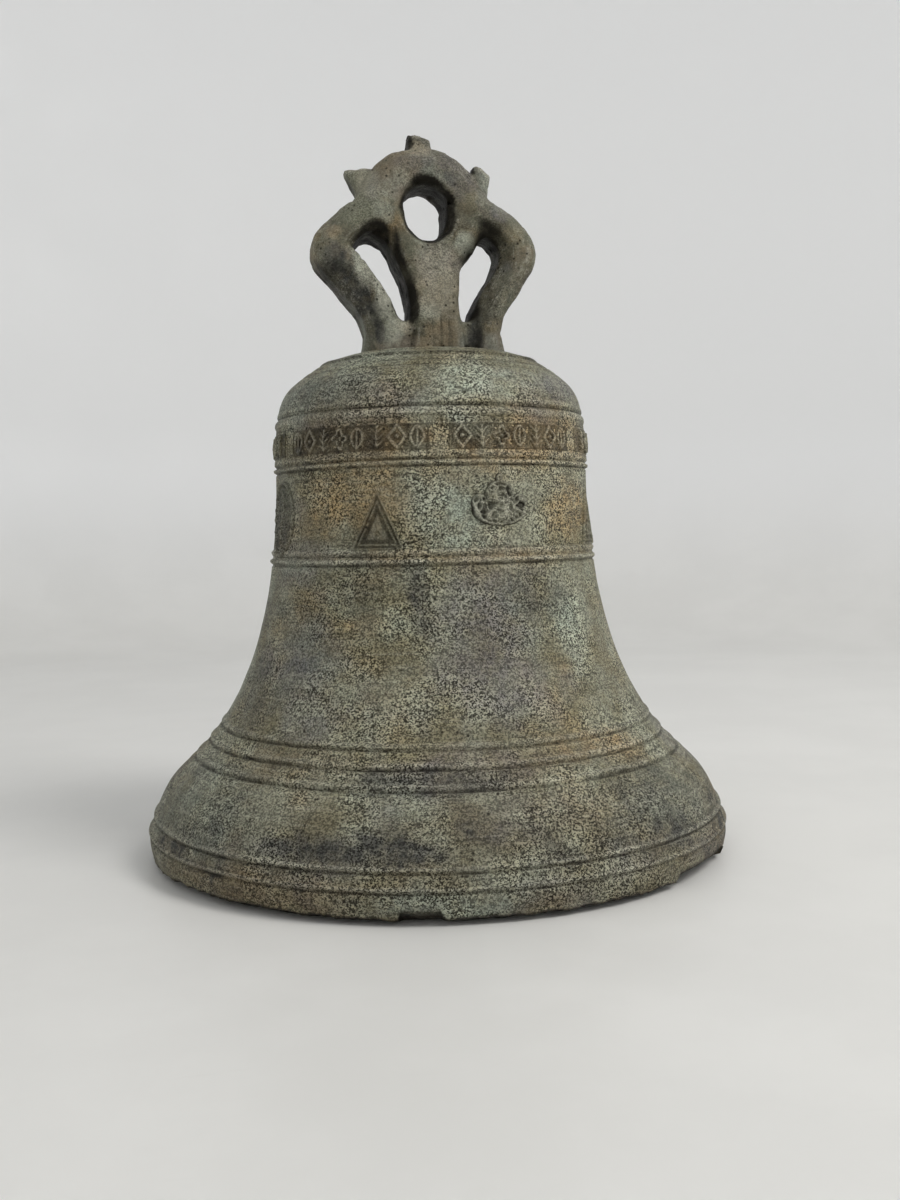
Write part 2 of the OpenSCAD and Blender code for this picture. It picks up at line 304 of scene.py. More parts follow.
# Breaks in the lip's outer edge as [bearing, half width in degrees, height]
LIP_BREAKS = [
    [-13.4, 4.0, 7.6], [-52, 20, 4.4], [-62, 5, 5.2], [-43, 3.5, 5.4], [-30, 2, 4.2],
    [-3, 2.5, 4.2], [8, 3, 3.8], [22, 5, 4.0], [47.5, 11.5, 8.6], [66, 6, 5.2], [84, 7, 6.0],
    [104, 3, 4.4],
    [121, 9, 5.4], [140, 3, 7.2], [158, 7, 4.6], [178, 5, 6.2], [199, 3, 4.2], [214, 10, 5.2],
    [233, 3, 7.0], [252, 6, 4.4], [270, 4, 5.6],
]


def break_height(bearing):
    """How high the lip's outer edge is broken off at each bearing."""
    spot = ring_point(bearing, BREAK_R, 0)
    height = 3.7 + layers(spot, [0.9, 9, 61], [0.6, 3.2, 62])
    for centre, half_turn, tall in LIP_BREAKS:
        away = np.abs(turn_between(bearing, centre)) / half_turn
        jag = 0.12 * noise(spot, 4, 63)
        broken = tall * ramp(1.12 - away + jag, 0, 0.3) + 0.7 * noise(spot, 3, 64)
        height = np.maximum(height, broken)
    return np.maximum(height, 1.8)


def body_rows():
    """Heights of the rows outside, closer together across each moulding and at the lip."""
    fine = np.linspace(0, OUTLINE_TOP, 3000)
    radius = outline_radius(fine)
    length = np.concatenate([[0], np.cumsum(np.hypot(np.diff(fine), np.diff(radius)))])
    regular = np.interp(np.arange(0, length[-1], ROW_STEP), length, fine)
    regular = regular[regular > LIP_ZONE]
    for height, half_width, _ in MOULDINGS:
        regular = regular[np.abs(regular - height) > half_width * max(MOULD_ROWS)]
    close = [h + w * k for h, w, _ in MOULDINGS for k in MOULD_ROWS]
    rows = np.sort(np.concatenate([regular, close]))
    keep = np.concatenate([[True], np.diff(rows) > 0.28])
    return rows[keep]


def outside_ring(z, columns):
    return skin(round_bearings(columns), np.full(columns, z))


def lip_rings():
    """Rings from LIP_ZONE down to the broken edge, then down its rough face to the foot."""
    bearing = round_bearings(LIP_COLUMNS)
    height = break_height(bearing)
    for k in range(LIP_ROWS):
        z = LIP_ZONE + (height - LIP_ZONE) * k / LIP_ROWS
        points, moulded, grime_and_shade = skin(bearing, z)
        yield points, moulded, grime_and_shade, 0.9 * ramp(height + 2.2 - z, 0, 2.2)
    edge, _, _ = skin(bearing, height)
    edge_r = np.hypot(edge[:, 0], edge[:, 1]) - 0.3
    foot_r = REST_OUTER_R - 0.5 * height
    for k in range(BREAK_ROWS + 1):
        t = 1 - k / BREAK_ROWS
        spot = ring_point(bearing, BREAK_R, 6 * t)
        rough = np.sqrt(height) * (layers(spot, [0.5, 3.1, 65], [0.3, 1.7, 66]))
        radius = foot_r + (edge_r - foot_r) * t**0.8 + rough * min(1, 3 * t)
        lifted = height * t**1.1 + np.abs(rough) * min(t, 1 - t) * 2
        yield ring_point(bearing, radius, lifted), 0.0, 0.3, 1.0


def foot_ring(share, columns):
    """A ring of the flat foot: share 0 at its inner edge, 1 at the broken face."""
    bearing = round_bearings(columns)
    outer = REST_OUTER_R - 0.5 * break_height(bearing)
    return ring_point(bearing, REST_INNER_R + (outer - REST_INNER_R) * share, 0)


def inside_ring(z, columns):
    bearing = round_bearings(columns)
    radius = outline_radius(z) - np.interp(z, WALL[:, 0], WALL[:, 1])
    plain = ring_point(bearing, radius, z)
    rough = layers(plain, [0.45, 17, 4], [0.2, 6, 5])
    return ring_point(bearing, radius - rough * ramp(z, 0, 6), z)


def dome_ring(angle, columns):
    foot = outline_radius(DOME_FOOT) - WALL[-1, 1]
    radius = foot * math.cos(angle) ** DOME_SHAPE
    z = DOME_FOOT + (DOME_TOP - DOME_FOOT) * math.sin(angle) ** DOME_SHAPE
    return ring_point(round_bearings(columns), radius, z)


def plate_ring(radius, z, columns):
    points = ring_point(round_bearings(columns), radius, z)
    rough = layers(points, [0.22, 9, 6], [0.12, 3.5, 7])
    points[:, 2] += rough * ramp(radius, 8, 50)
    return points


def bell_rings():
    """Every ring from the middle of the crown plate, down the outside, and up the inside."""
    rings = []

    def add(points, moulded=0.0, grime_and_shade=0.0, broken=0.0, hidden=0.0):
        n = len(points)
        masks = [np.broadcast_to(v, n) for v in (moulded, grime_and_shade, broken, hidden)]
        rings.append((points, *masks))

    quarter, half = BODY_COLUMNS // 4, BODY_COLUMNS // 2
    for radius, z in reversed(PLATE_MIDDLE):
        add(plate_ring(radius, z, quarter if radius < 30 else half), grime_and_shade=0.5)
    for radius, z in reversed(PLATE):
        add(plate_ring(radius, z, BODY_COLUMNS), grime_and_shade=0.7 if 300 < z < 302 else 0.15)
    for z in body_rows()[::-1]:
        add(*outside_ring(z, BODY_COLUMNS))
    for ring in lip_rings():
        add(*ring)
    add(foot_ring(0.55, LIP_COLUMNS), grime_and_shade=0.6)
    add(foot_ring(0.25, BODY_COLUMNS), grime_and_shade=0.6)
    add(foot_ring(0.0, half), grime_and_shade=0.6, hidden=1)
    for z in INSIDE_ROWS:
        add(inside_ring(float(z), half), hidden=1)
    for degrees in DOME_DEGREES:
        add(dome_ring(math.radians(degrees), half), hidden=1)
    add(dome_ring(math.radians(DOME_LAST), quarter), hidden=1)
    return rings


def fan_faces(n):
    """Triangles between vertex 0 and the ring of n vertices after it."""
    return [(0, 1 + j, 1 + (j + 1) % n) for j in range(n)]


def ring_faces(a, b, n):
    """Quads between two rings of n vertices, which start at a and at b."""
    return [(a + j, b + j, b + (j + 1) % n, a + (j + 1) % n) for j in range(n)]


def join_rings(rings):
    """Vertices and outward faces of a closed skin through the rings, with a point at each end."""
    counts = [len(r[0]) for r in rings]
    starts = np.concatenate([[1], 1 + np.cumsum(counts)])
    faces = fan_faces(counts[0])
    for i in range(len(rings) - 1):
        a, b, n, m = starts[i], starts[i + 1], counts[i], counts[i + 1]
        if n == m:
            faces += ring_faces(a, b, n)
        elif m == 2 * n:
            faces += [(a + j, b + 2 * j, b + 2 * j + 1, b + (2 * j + 2) % m, a + (j + 1) % n)
                      for j in range(n)]
        else:
            faces += [(a + 2 * j, b + j, b + (j + 1) % m, a + (2 * j + 2) % n, a + 2 * j + 1)
                      for j in range(m)]
    last, n, end = starts[-2], counts[-1], starts[-1]
    faces += [(last + j, end, last + (j + 1) % n) for j in range(n)]
    top = rings[0][0].mean(0)
    bottom = rings[-1][0].mean(0)
    return np.vstack([top, *[r[0] for r in rings], bottom]), [tuple(map(int, f)) for f in faces]


def set_wrapped_uv(piece, lengths, bearings):
    """A bake map that wraps the bell once round, with its outline along the other way."""
    mesh = piece.data
    layer = mesh.uv_layers.new(name="OFBake")
    starts = np.zeros(len(mesh.polygons), int)
    totals = np.zeros(len(mesh.polygons), int)
    corners = np.zeros(len(mesh.loops), int)
    mesh.polygons.foreach_get("loop_start", starts)
    mesh.polygons.foreach_get("loop_total", totals)
    mesh.loops.foreach_get("vertex_index", corners)
    u = bearings[corners] / FULL_TURN
    face_of = np.repeat(np.arange(len(starts)), totals)
    highest = np.maximum.reduceat(u, starts)
    u = np.where(highest[face_of] - u > 0.5, u + 1, u)
    uv = np.stack([u, lengths[corners]], axis=-1)
    layer.data.foreach_set("uv", uv.astype(np.float32).ravel())


def make_bell_body(material):
    rings = bell_rings()
    vertices, faces = join_rings(rings)
    piece = make_piece("bell_casting", vertices, faces, material)
    moulded, grime_and_shade, broken, hidden = [
        np.concatenate([rings[0][k][:1], *[r[k] for r in rings], rings[-1][k][:1]])
        for k in (1, 2, 3, 4)]
    bearings = np.degrees(np.arctan2(vertices[:, 0], -vertices[:, 1])) % FULL_TURN
    stains = stain_weights(vertices, bearings)
    stains[:, 0] = np.maximum(stains[:, 0], 0.7 * broken)
    stains[:, 3] = np.maximum(stains[:, 3], 0.75 * broken)
    stains = np.where(hidden[:, None] > 0, stains * 0.6 + [0.3, 0.1, 0, 0.45], stains)
    patchy = 0.75 + layers(vertices, [0.35, 13, 8], [0.35, 3.5, 10])
    set_mask(piece, "grime_and_shade", np.maximum(grime_and_shade * patchy, 0.8 * broken))
    set_mask(piece, "wear", moulded / PROUDEST * patchy * (1 - broken))
    set_stains(piece, np.clip(stains, 0, 1))
    steps = [np.linalg.norm(b[0][0] - a[0][0]) for a, b in zip(rings, rings[1:])]
    ring_length = np.cumsum([0] + steps)
    share = ring_length / ring_length[-1] * 0.98 + 0.01
    lengths = np.concatenate([[0], *[np.full(len(r[0]), s) for r, s in zip(rings, share)], [1]])
    set_wrapped_uv(piece, lengths, bearings)
    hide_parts("bell_body")


# ---------------- cast reliefs

GRAIN = 0.5  # spacing of a relief's vertices
SUNK = -0.45  # level of a relief's sheet outside the relief
BACKED = -2.4  # level of its hidden back


def own_points(u, v, place):
    """Where a relief reads its noises, so that no two reliefs have the same."""
    return np.stack([u, v, 0 * u + place], axis=-1)


def raised(top, inward, start, end):
    """Height of a relief that falls to the sunk sheet outside its outline."""
    return SUNK + (top - SUNK) * ramp(inward, start, end)


def leaf(u, v):
    edge = ridge(np.abs(u) - 3.7 * (1 - (v / 6.1) ** 2), 1.35) * (np.abs(v) < 6.2)
    rib = 0.9 * ridge(u, 1.0) * (np.abs(v) < 5.6)
    return np.maximum(edge, rib)


def lozenge(u, v):
    edge = ridge((np.abs(u) / 4.7 + np.abs(v) / 6.1 - 1) * 3.7, 1.35)
    return np.maximum(edge, ridge(np.hypot(u, v), 1.9))


def quatrefoil(u, v):
    far = np.hypot(u, v * 0.84)
    lobes = 4.6 * (0.76 + 0.24 * np.cos(4 * np.arctan2(v, u)))
    return np.maximum(ridge(far - lobes, 1.35), ridge(far, 1.7))


def wheat_ear(u, v):
    stem = ridge(u, 1.0) * (np.abs(v) < 6)
    grains = ridge((v - 0.9 * np.abs(u)) % 3.6 - 1.8, 1.1) * ridge(u, 4.6) ** 0.3
    return np.maximum(stem, 0.9 * (grains * (np.abs(v) < 6.2)))


MOTIFS = [leaf, lozenge, wheat_ear, quatrefoil, leaf, wheat_ear, lozenge]
MOTIF_STEP = 11.6
TABLET_Z = 250.6
TABLET_HALF_H = 7.9
TABLET_GAP = 5.6  # in degrees
TABLET_TURNS = [56.5, 50.5, 55, 48, 55, 61.4]
FIRST_TABLET = -66.4  # bearing of the first tablet's left end


def tablet_relief(u, v, half_w, seed):
    """Height of a tablet with a row of cast ornament, and its dark recesses, with painted shadow
    round the feet of its strokes.
    """
    inward = np.minimum(half_w - np.abs(u), TABLET_HALF_H - np.abs(v))
    spot = own_points(u, v, 40 * seed)
    bent_u = u + 0.55 * noise(spot, 6, 67)
    bent_v = v + 0.45 * noise(spot, 5, 68)
    count = int((2 * half_w - 3) // MOTIF_STEP)
    cell = (bent_u + count * MOTIF_STEP / 2) / MOTIF_STEP
    which = np.clip(np.floor(cell), 0, count - 1).astype(int)
    local = (cell - which - 0.5) * MOTIF_STEP
    figure = np.zeros_like(u)
    for k in range(count):
        shape = MOTIFS[(k + seed) % len(MOTIFS)]
        figure = np.where(which == k, shape(local, bent_v), figure)
    ragged = 0.5 * noise(spot, 5, 71)
    rim = 0.5 * ridge(inward - 1.0, 0.9)
    rough = layers(spot, [0.2, 2.1, 72], [0.12, 1.1, 73])
    worn = 0.86 + 0.35 * noise(spot, 7, 74)
    stroke = np.clip(1.5 * figure, 0, 1)
    top = 0.1 + rough + np.maximum(rim, 1.55 * worn * stroke * (inward > 1.0))
    height = raised(top, inward + ragged, 0, 0.9)
    # Painted shadow round the feet of the strokes.
    foot = ridge(figure - 0.12, 0.26)
    blotchy = 0.5 + 0.4 * noise(spot, 3, 69)
    recess = np.maximum(foot, blotchy * (1 - stroke)) * ramp(inward, 0, 1)
    return height, np.maximum(recess, ridge(inward - 0.1, 0.8))


TRIANGLE_H = 34.5
TRIANGLE_HALF_W = 16.0


def triangle_relief(u, v, seed):
    """A triangular plaque with a double border and a small boss with a pit."""
    side = TRIANGLE_HALF_W * (TRIANGLE_H / 2 - v) / TRIANGLE_H - np.abs(u)
    side = side / math.hypot(1, TRIANGLE_HALF_W / TRIANGLE_H)
    inward = np.minimum(side, v + TRIANGLE_H / 2)
    spot = own_points(u, v, 60 * seed)
    rough = layers(spot, [0.25, 2.0, 75], [0.12, 1.0, 76])
    lines = np.maximum(ridge(inward - 0.9, 0.9), 0.9 * ridge(inward - 3.1, 0.9))
    boss = ramp(inward, 5.6, 6.4)
    pit = ridge(np.hypot(u, v + TRIANGLE_H * 0.23), 2.0)
    top = 0.3 + 1.6 * rough * ramp(inward, 1.2, 2) + 1.4 * lines + 1.1 * boss - 2.0 * pit
    height = raised(top, inward, -0.3, 0.5)
    blotchy = 0.9 + 1.4 * rough
    recess = np.clip(blotchy - lines - 0.5 * boss + pit, 0, 1) * ramp(inward, -0.2, 0.4)
    return height, 0.7 * np.maximum(recess, 0.8 * ridge(inward, 0.7))


# Lobes as (place across, place up, half width, half height)
SHELL_LOBES = [(0, -2.4, 17.0, 9.0), (0, 6.6, 9.2, 8.0), (-12.2, 1.8, 5.2, 5.2),
               (12.2, 1.8, 5.2, 5.2), (0, 15.4, 2.6, 3.0)]


def shell_relief(u, v, seed):
    """A wide leafy boss with scalloped shoulders and a short finial over it."""
    inward = np.full(u.shape, -99.0)
    for x, y, half_w, half_h in SHELL_LOBES:
        lobe = (1 - np.hypot((u - x) / half_w, (v - y) / half_h)) * min(half_w, half_h)
        inward = np.maximum(inward, lobe)
    spot = own_points(u, v, 80 * seed)
    curls = ridge(noise(spot, 5.0, 77), 0.3)
    sprigs = ridge(noise(spot, 3.2, 81), 0.28)
    lumps = 0.5 * noise(spot, 1.7, 78)
    crown_edge = ridge(v - 2.6 - 0.05 * u**2, 0.9) * (np.abs(u) < 11)
    figure = np.maximum(np.maximum(curls, 0.8 * sprigs), crown_edge)
    domed = 0.55 + 0.06 * np.minimum(inward, 6)
    top = domed + 1.25 * figure + lumps + 0.8 * ridge(inward - 1.0, 1.0)
    height = raised(top, inward, -0.4, 0.6)
    recess = np.clip(1.45 - top, 0, 1) * ramp(inward, -0.4, 0.4)
    return height, np.maximum(recess, ridge(inward, 1.0))


OVAL_HALF_W = 16.5
OVAL_HALF_H = 23.0


def oval_relief(u, v, seed):
    """An oval plaque with a rim and a leafy stem."""
    far = np.hypot(u / OVAL_HALF_W, v / OVAL_HALF_H)
    inward = (1 - far) * OVAL_HALF_W
    spot = own_points(u, v, 90 * seed)
    stem = ridge(u - 1.4 * np.sin(v / 4), 1.0)
    leaves = ridge((v + 1.3 * np.abs(u)) % 6.4 - 3.2, 1.5) * ridge(u, 11) ** 0.5
    figure = np.maximum(stem, 0.85 * leaves) * ramp(inward, 3, 4.5)
    rough = layers(spot, [0.25, 2.6, 79], [0.12, 1.2, 80])
    rims = np.maximum(ridge(inward - 1.0, 1.0), 0.6 * ridge(inward - 3.2, 0.8))
    top = 0.35 + 1.6 * rough + 1.3 * rims + 1.1 * figure
    height = raised(top, inward, -0.3, 0.6)
    recess = np.clip(1.0 - rims - figure, 0, 1) * ramp(inward, -0.2, 0.4)
    return height, 0.6 * np.maximum(recess, ridge(inward, 0.9))


# Plaques as [bearing, kind]; kinds as (height of the middle, half width, half height, relief,
# how pale its high parts are painted, for wear and painted highlight)
PLAQUES = [[-75, "oval"], [-28, "triangle"], [13, "shell"], [62, "triangle"],
           [105, "oval"], [152, "triangle"], [193, "shell"], [242, "triangle"]]
PLAQUE_KINDS = {
    "oval": (206.5, OVAL_HALF_W + 1, OVAL_HALF_H + 1, oval_relief, 0.3),
    "triangle": (204.6, TRIANGLE_HALF_W + 1, TRIANGLE_H / 2 + 1, triangle_relief, 0.3),
    "shell": (211.2, 19.0, 21.0, shell_relief, 0.9),
}
TABLET_SHINE = 0.6


def make_relief(name, bearing, z, half_w, half_h, relief, material, shine):
    """A closed sheet let into the bell's wall, whose front carries the relief."""
    columns = int(2 * half_w / GRAIN) + 1
    rows = int(2 * half_h / GRAIN) + 1
    u, v = np.meshgrid(np.linspace(-half_w, half_w, columns), np.linspace(-half_h, half_h, rows),
                       indexing="ij")
    height, recess = relief(u, v)
    bearings = bearing + np.degrees(u / outline_radius(z))
    front, _, _ = skin(bearings.ravel(), (z + v).ravel(), height.ravel())
    back, _, _ = skin(bearings.ravel(), (z + v).ravel(), BACKED)
    vertices = np.vstack([front, back])
    piece = make_piece(name, vertices, sheet_faces(columns, rows), material)
    hidden = np.zeros(recess.size)
    patchy = 0.85 + 0.4 * noise(vertices, 7, 9)
    # High parts painted paler: wear, and painted highlight on the raised figures.
    worn = ramp(np.append(height, hidden), 0.55, 1.5)
    # Dirt and painted shade in each relief's low parts and round its edge.
    set_mask(piece, "grime_and_shade", np.append(recess, hidden) * patchy)
    set_mask(piece, "wear", worn * patchy * shine)
    set_stains(piece, stain_weights(vertices, np.append(bearings, bearings) % FULL_TURN))


def sheet_faces(columns, rows):
    """Faces of a closed slab of two grids, front first."""
    count = columns * rows
    at = np.arange(count).reshape(columns, rows)
    front = np.stack([at[:-1, :-1], at[1:, :-1], at[1:, 1:], at[:-1, 1:]], axis=-1).reshape(-1, 4)
    back = front[:, ::-1] + count
    loop = np.concatenate([at[:-1, 0], at[-1, :-1], at[:0:-1, -1], at[0, :0:-1]])
    after = np.roll(loop, -1)
    sides = np.stack([after, loop, loop + count, after + count], axis=-1)
    return np.vstack([front, back, sides]).tolist()


def make_reliefs(material):
    start = FIRST_TABLET
    for number, turn in enumerate(TABLET_TURNS):
        half_w = math.radians(turn / 2) * outline_radius(TABLET_Z)
        make_relief(f"tablet_{number + 1}", start + turn / 2, TABLET_Z, half_w + 0.5,
                    TABLET_HALF_H + 0.5, lambda u, v: tablet_relief(u, v, half_w, number),
                    material, TABLET_SHINE)
        start += turn + TABLET_GAP
    for number, (bearing, kind) in enumerate(PLAQUES):
        z, half_w, half_h, relief, shine = PLAQUE_KINDS[kind]
        make_relief(f"plaque_{kind}_{number + 1}", bearing, z, half_w, half_h,
                    lambda u, v: relief(u, v, number), material, shine)


# ---------------- crown

VOXEL = 1.0
AIR = 20  # empty cells added on each side to measure hollows
crown_low, crown_high = [Vector(corner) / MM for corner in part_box("crown")]
PLATE_TOP = crown_low.z
EYE_X = -2.3
EYE_Z = PLATE_TOP + 86.6
EYE_HALF_W = 12.8
EYE_HALF_H = 16.6
EYE_FLARE = 3.4
EYE_TILT = 9.0  # in degrees, its top towards -X
HALF_DEPTH = 20.5
EDGE_ROUND = 1.4
# Limbs as [x, height over the plate, half width]
LEFT_CANON = [[-30.4, -3, 13.2], [-29.6, 7, 11.9], [-30, 16, 10.9], [-36, 31, 10.4],
              [-48.3, 48, 11.5], [-60.2, 65.2, 12.0], [-49.2, 79.0, 10.5], [-30.5, 91.5, 10.8]]
RIGHT_CANON = [[34.6, -3, 12.4], [34, 7, 11.2], [33.5, 16, 10.4], [39.4, 32, 9.8],
               [49.6, 47, 10.2], [55.7, 64, 11.6], [47.0, 77.2, 10.4], [28.5, 90.5, 10.8]]
STEM = [[2.3, -3, 21], [2.1, 12, 17.2], [1.9, 26, 15.1], [0.6, 46, 16.8], [-0.6, 60, 21.6],
        [-1.5, 71, 24]]
# Bevels of the limbs' two long edges: on the side left of the way up, and on the other
LEFT_BEVELS = (8.5, 4.5)
RIGHT_BEVELS = (8.0, 6.5)
STEM_BEVELS = (5.0, 3.5)
RING_BEVELS = (4.0, 8.5)
# Grooves along a limb as [place across, half width, depth, start, end]
LEFT_GROOVE = [0.26, 4.6, 2.6, 0.03, 0.62]
RIGHT_GROOVE = [0.3, 3.4, 0.9, 0.05, 0.6]
RING_LINE_R = 28.4
RING_HALF = 13.1
RING_SLIM = 1.2  # how much slimmer the ring is at its right
RING_LOW_SLIM = (1.2, 4.4)  # and at its lower right and lower left
RING_TURN = range(-60, 250, 10)
# Broken casting gates as [x, height, half width at the root, half width at the break, lean, slope]
GATES = [[-4.2, 125, 8.0, 7.2, 0, -0.24], [-37.4, 105, 6.2, 8.0, -21, -0.28],
         [31.6, 106, 7.0, 5.6, 14, -0.3]]
GATE_LENGTH = 15.0
# Middle and reach of the crown's foot on the plate, and the low web between its limbs
FOOT_X = 2
SUNK_IN = 2.4  # how far the crown's foot reaches into the plate
FOOT_R = 47
WEB_HALF_W = 31
WEB_H = 20
WEB_HALF_DEPTH = HALF_DEPTH - 5
# Fillets where the parts of the crown meet
CANON_FILLET = 5
STEM_FILLET = 4.5
WEB_FILLET = 3.5
EYE_FILLET = 3
GATE_FILLET = 2.2
FOOT_FILLET = 4


def blend(a, b, radius):
    """Union of two distance fields with a fillet."""
    h = np.clip(0.5 + 0.5 * (b - a) / radius, 0, 1)
    return b * (1 - h) + a * h - radius * h * (1 - h)


def carve(a, b, radius):
    """Field a with b cut out of it, and the edges rounded."""
    return -blend(-a, b, radius)


def dense_path(points):
    """The smooth line through a limb's points, in steps of about 1 mm."""
    p = np.array(points, float)
    place = np.concatenate([[0], np.cumsum(np.hypot(*np.diff(p[:, :2], axis=0).T))])
    at = np.linspace(0, place[-1], int(place[-1]))
    lines = [smooth_line(np.stack([place, p[:, k]], axis=-1), at) for k in range(3)]
    return np.stack(lines, axis=-1)


def along_path(points, x, z):
    """Side offset, half width and share of the way along a limb, on a flat grid."""
    path = dense_path(points)
    gap_x = x[..., None] - path[:, 0]
    gap_z = z[..., None] - (path[:, 1] + PLATE_TOP)
    near = np.argmin(gap_x**2 + gap_z**2, axis=-1)
    ahead = np.gradient(path[:, :2], axis=0)
    dx = np.take_along_axis(gap_x, near[..., None], axis=-1)[..., 0]
    dz = np.take_along_axis(gap_z, near[..., None], axis=-1)[..., 0]
    side = np.sign(dz * ahead[near, 0] - dx * ahead[near, 1])
    return side * np.hypot(dx, dz), path[near, 2], near / (len(path) - 1)


def boxed(across, width, depth, half_depth, bevels):
    """Distance field of a bar's section, a box with bevelled and slightly rounded edges."""
    a = np.abs(across) - width
    b = np.abs(depth) - half_depth
    bevel = bevels[1] + (bevels[0] - bevels[1]) * ramp(across, -2, 2)
    slant = (a + b + bevel) / math.sqrt(2)
    return -blend(-slant, blend(-a, -b, EDGE_ROUND), EDGE_ROUND)


def limb_field(points, x, z, y, bevels, groove):
    """Field of a limb, and where its groove is."""
    side, width, share = along_path(points, x, z)
    field = boxed(side[:, None, :], width[:, None, :], y, HALF_DEPTH, bevels)
    if groove is None:
        return field
    place, half_width, depth, start, end = groove
    across = ridge(side - place * width, half_width)
    fade = ramp(share, start, start + 0.08) * (1 - ramp(share, end - 0.12, end))
    return field + depth * (across * fade)[:, None, :] * ramp(np.abs(y), 6, HALF_DEPTH)


def gate_field(gate, points):
    """A tapered stub with a rough broken end."""
    x, height, root, tip, lean, slope = gate
    a = math.radians(lean)
    foot = np.array([x, 0, PLATE_TOP + height - GATE_LENGTH / 3])
    p = points - foot
    along = p[..., 0] * math.sin(a) + p[..., 2] * math.cos(a)
    across = p[..., 0] * math.cos(a) - p[..., 2] * math.sin(a)
    t = np.clip(along / GATE_LENGTH, 0, 1)
    ragged = 0.9 * noise(points, 3.4, 91) + slope * across
    sides = boxed(across, root + (tip - root) * t, p[..., 1], 10 - 2.5 * t, (2.0, 2.0))
    return np.maximum(sides, np.maximum(along - GATE_LENGTH - ragged, -along - 4))


def eye_axes(x, z):
    """Places across and up the eye, which leans."""
    a = math.radians(EYE_TILT)
    across = (x - EYE_X) * math.cos(a) + (z - EYE_Z) * math.sin(a)
    return across, (z - EYE_Z) * math.cos(a) - (x - EYE_X) * math.sin(a)


def eye_field(x, z, y):
    """The eye, a leaning oval that widens to its two mouths."""
    flare = EYE_FLARE * ramp(np.abs(y), HALF_DEPTH - 8, HALF_DEPTH + 1)
    across, up = eye_axes(x, z)
    across = across[:, None, :] / (EYE_HALF_W + flare)
    up = up[:, None, :] / (EYE_HALF_H + flare)
    return (np.hypot(across, up) - 1) * (EYE_HALF_W + flare)


def ring_path():
    """The ring's middle line, from its right foot over the top to its left foot."""
    path = []
    for degrees in RING_TURN:
        a = math.radians(degrees)
        slim = RING_SLIM * max(0, math.cos(a - math.radians(35)))
        low_slim = RING_LOW_SLIM[math.cos(a) < 0] * min(1, max(0, -2 * math.sin(a)))
        radius = RING_LINE_R - slim - 1.5 * low_slim
        path.append([EYE_X + radius * math.cos(a), EYE_Z - PLATE_TOP + radius * math.sin(a),
                     RING_HALF - slim - low_slim])
    return path


def crown_field(grid_x, grid_y, grid_z):
    """Signed distance of the crown on a grid, below 0 inside it."""
    x, z = np.meshgrid(grid_x, grid_z, indexing="ij")
    y = grid_y[None, :, None]
    points = np.stack(np.meshgrid(grid_x, grid_y, grid_z, indexing="ij"), axis=-1)
    field = limb_field(LEFT_CANON, x, z, y, LEFT_BEVELS, LEFT_GROOVE)
    limbs = [(ring_path(), RING_BEVELS, None, CANON_FILLET),
             (RIGHT_CANON, RIGHT_BEVELS, RIGHT_GROOVE, CANON_FILLET),
             (STEM, STEM_BEVELS, None, STEM_FILLET)]
    for path, bevels, groove, fillet in limbs:
        field = blend(field, limb_field(path, x, z, y, bevels, groove), fillet)
    web = np.maximum(np.abs(x - FOOT_X) - WEB_HALF_W, z - PLATE_TOP - WEB_H)[:, None, :]
    field = blend(field, np.maximum(web, np.abs(y) - WEB_HALF_DEPTH), WEB_FILLET)
    field = carve(field, eye_field(x, z, y), EYE_FILLET)
    for gate in GATES:
        field = blend(field, gate_field(gate, points), GATE_FILLET)
    floor = (z - PLATE_TOP)[:, None, :] + 0.7 + 0 * y
    reach = np.hypot(points[..., 0] - FOOT_X, points[..., 1] * 1.5) - FOOT_R
    field = blend(field, np.maximum(floor, reach), FOOT_FILLET)
    lumps = layers(points, [0.6, 13, 92], [0.32, 5.5, 93], [0.2, 2.6, 94])
    dents = 0.9 * ramp(noise(points, 4.2, 98), 0.45, 0.8)
    return np.maximum(field + (lumps + dents), (PLATE_TOP - SUNK_IN) - points[..., 2])


def surface_net(field, origin, step):
    """Vertices and outward faces of the surface where the field is 0."""
    shape = np.array(field.shape) - 1
    total = np.zeros((*shape, 3))
    count = np.zeros(shape)

    def part(start):
        return field[tuple(slice(s, s + n) for s, n in zip(start, shape))]

    for axis in range(3):
        for offset in np.ndindex(2, 2):
            start = np.insert(np.array(offset), axis, 0)
            end = start.copy()
            end[axis] = 1
            a, b = part(start), part(end)
            crossed = (a < 0) != (b < 0)
            place = start + np.zeros((*shape, 3))
            place[..., axis] = np.where(crossed, a / np.where(crossed, a - b, 1), 0)
            total += place * crossed[..., None]
            count += crossed
    live = count > 0
    index = np.full(shape, -1)
    index[live] = np.arange(live.sum())
    vertices = origin + step * (np.argwhere(live) + total[live] / count[live][:, None])
    faces = []
    for axis in range(3):
        one, two = [k for k in range(3) if k != axis]
        low = [slice(1, -1)] * 3
        low[axis] = slice(0, -1)
        high = list(low)
        high[axis] = slice(1, None)
        a, b = field[tuple(low)] < 0, field[tuple(high)] < 0
        for leaving in (True, False):
            where = np.argwhere(a & ~b if leaving else ~a & b)
            cell = where + 1
            cell[:, axis] -= 1
            corners = []
            for i, j in ((1, 1), (0, 1), (0, 0), (1, 0)):
                shift = np.zeros(3, int)
                shift[one], shift[two] = -i, -j
                corners.append(index[tuple((cell + shift).T)])
            quad = np.stack(corners, axis=-1)
            turned = leaving == (axis == 1)
            faces.append(quad[:, ::-1] if turned else quad)
    return vertices, np.vstack(faces).tolist()


def solid_share(field, reach):
    """How much of the cube that reaches so far each way from each grid point is solid."""
    share = (field < 0).astype(np.float32)
    n = int(reach / VOXEL)
    for axis in range(3):
        wide = [(n + 1, n) if k == axis else (0, 0) for k in range(3)]
        total = np.moveaxis(np.cumsum(np.pad(share, wide), axis=axis), axis, 0)
        share = np.moveaxis(total[2 * n + 1:] - total[:-2 * n - 1], 0, axis) / (2 * n + 1)
    return share


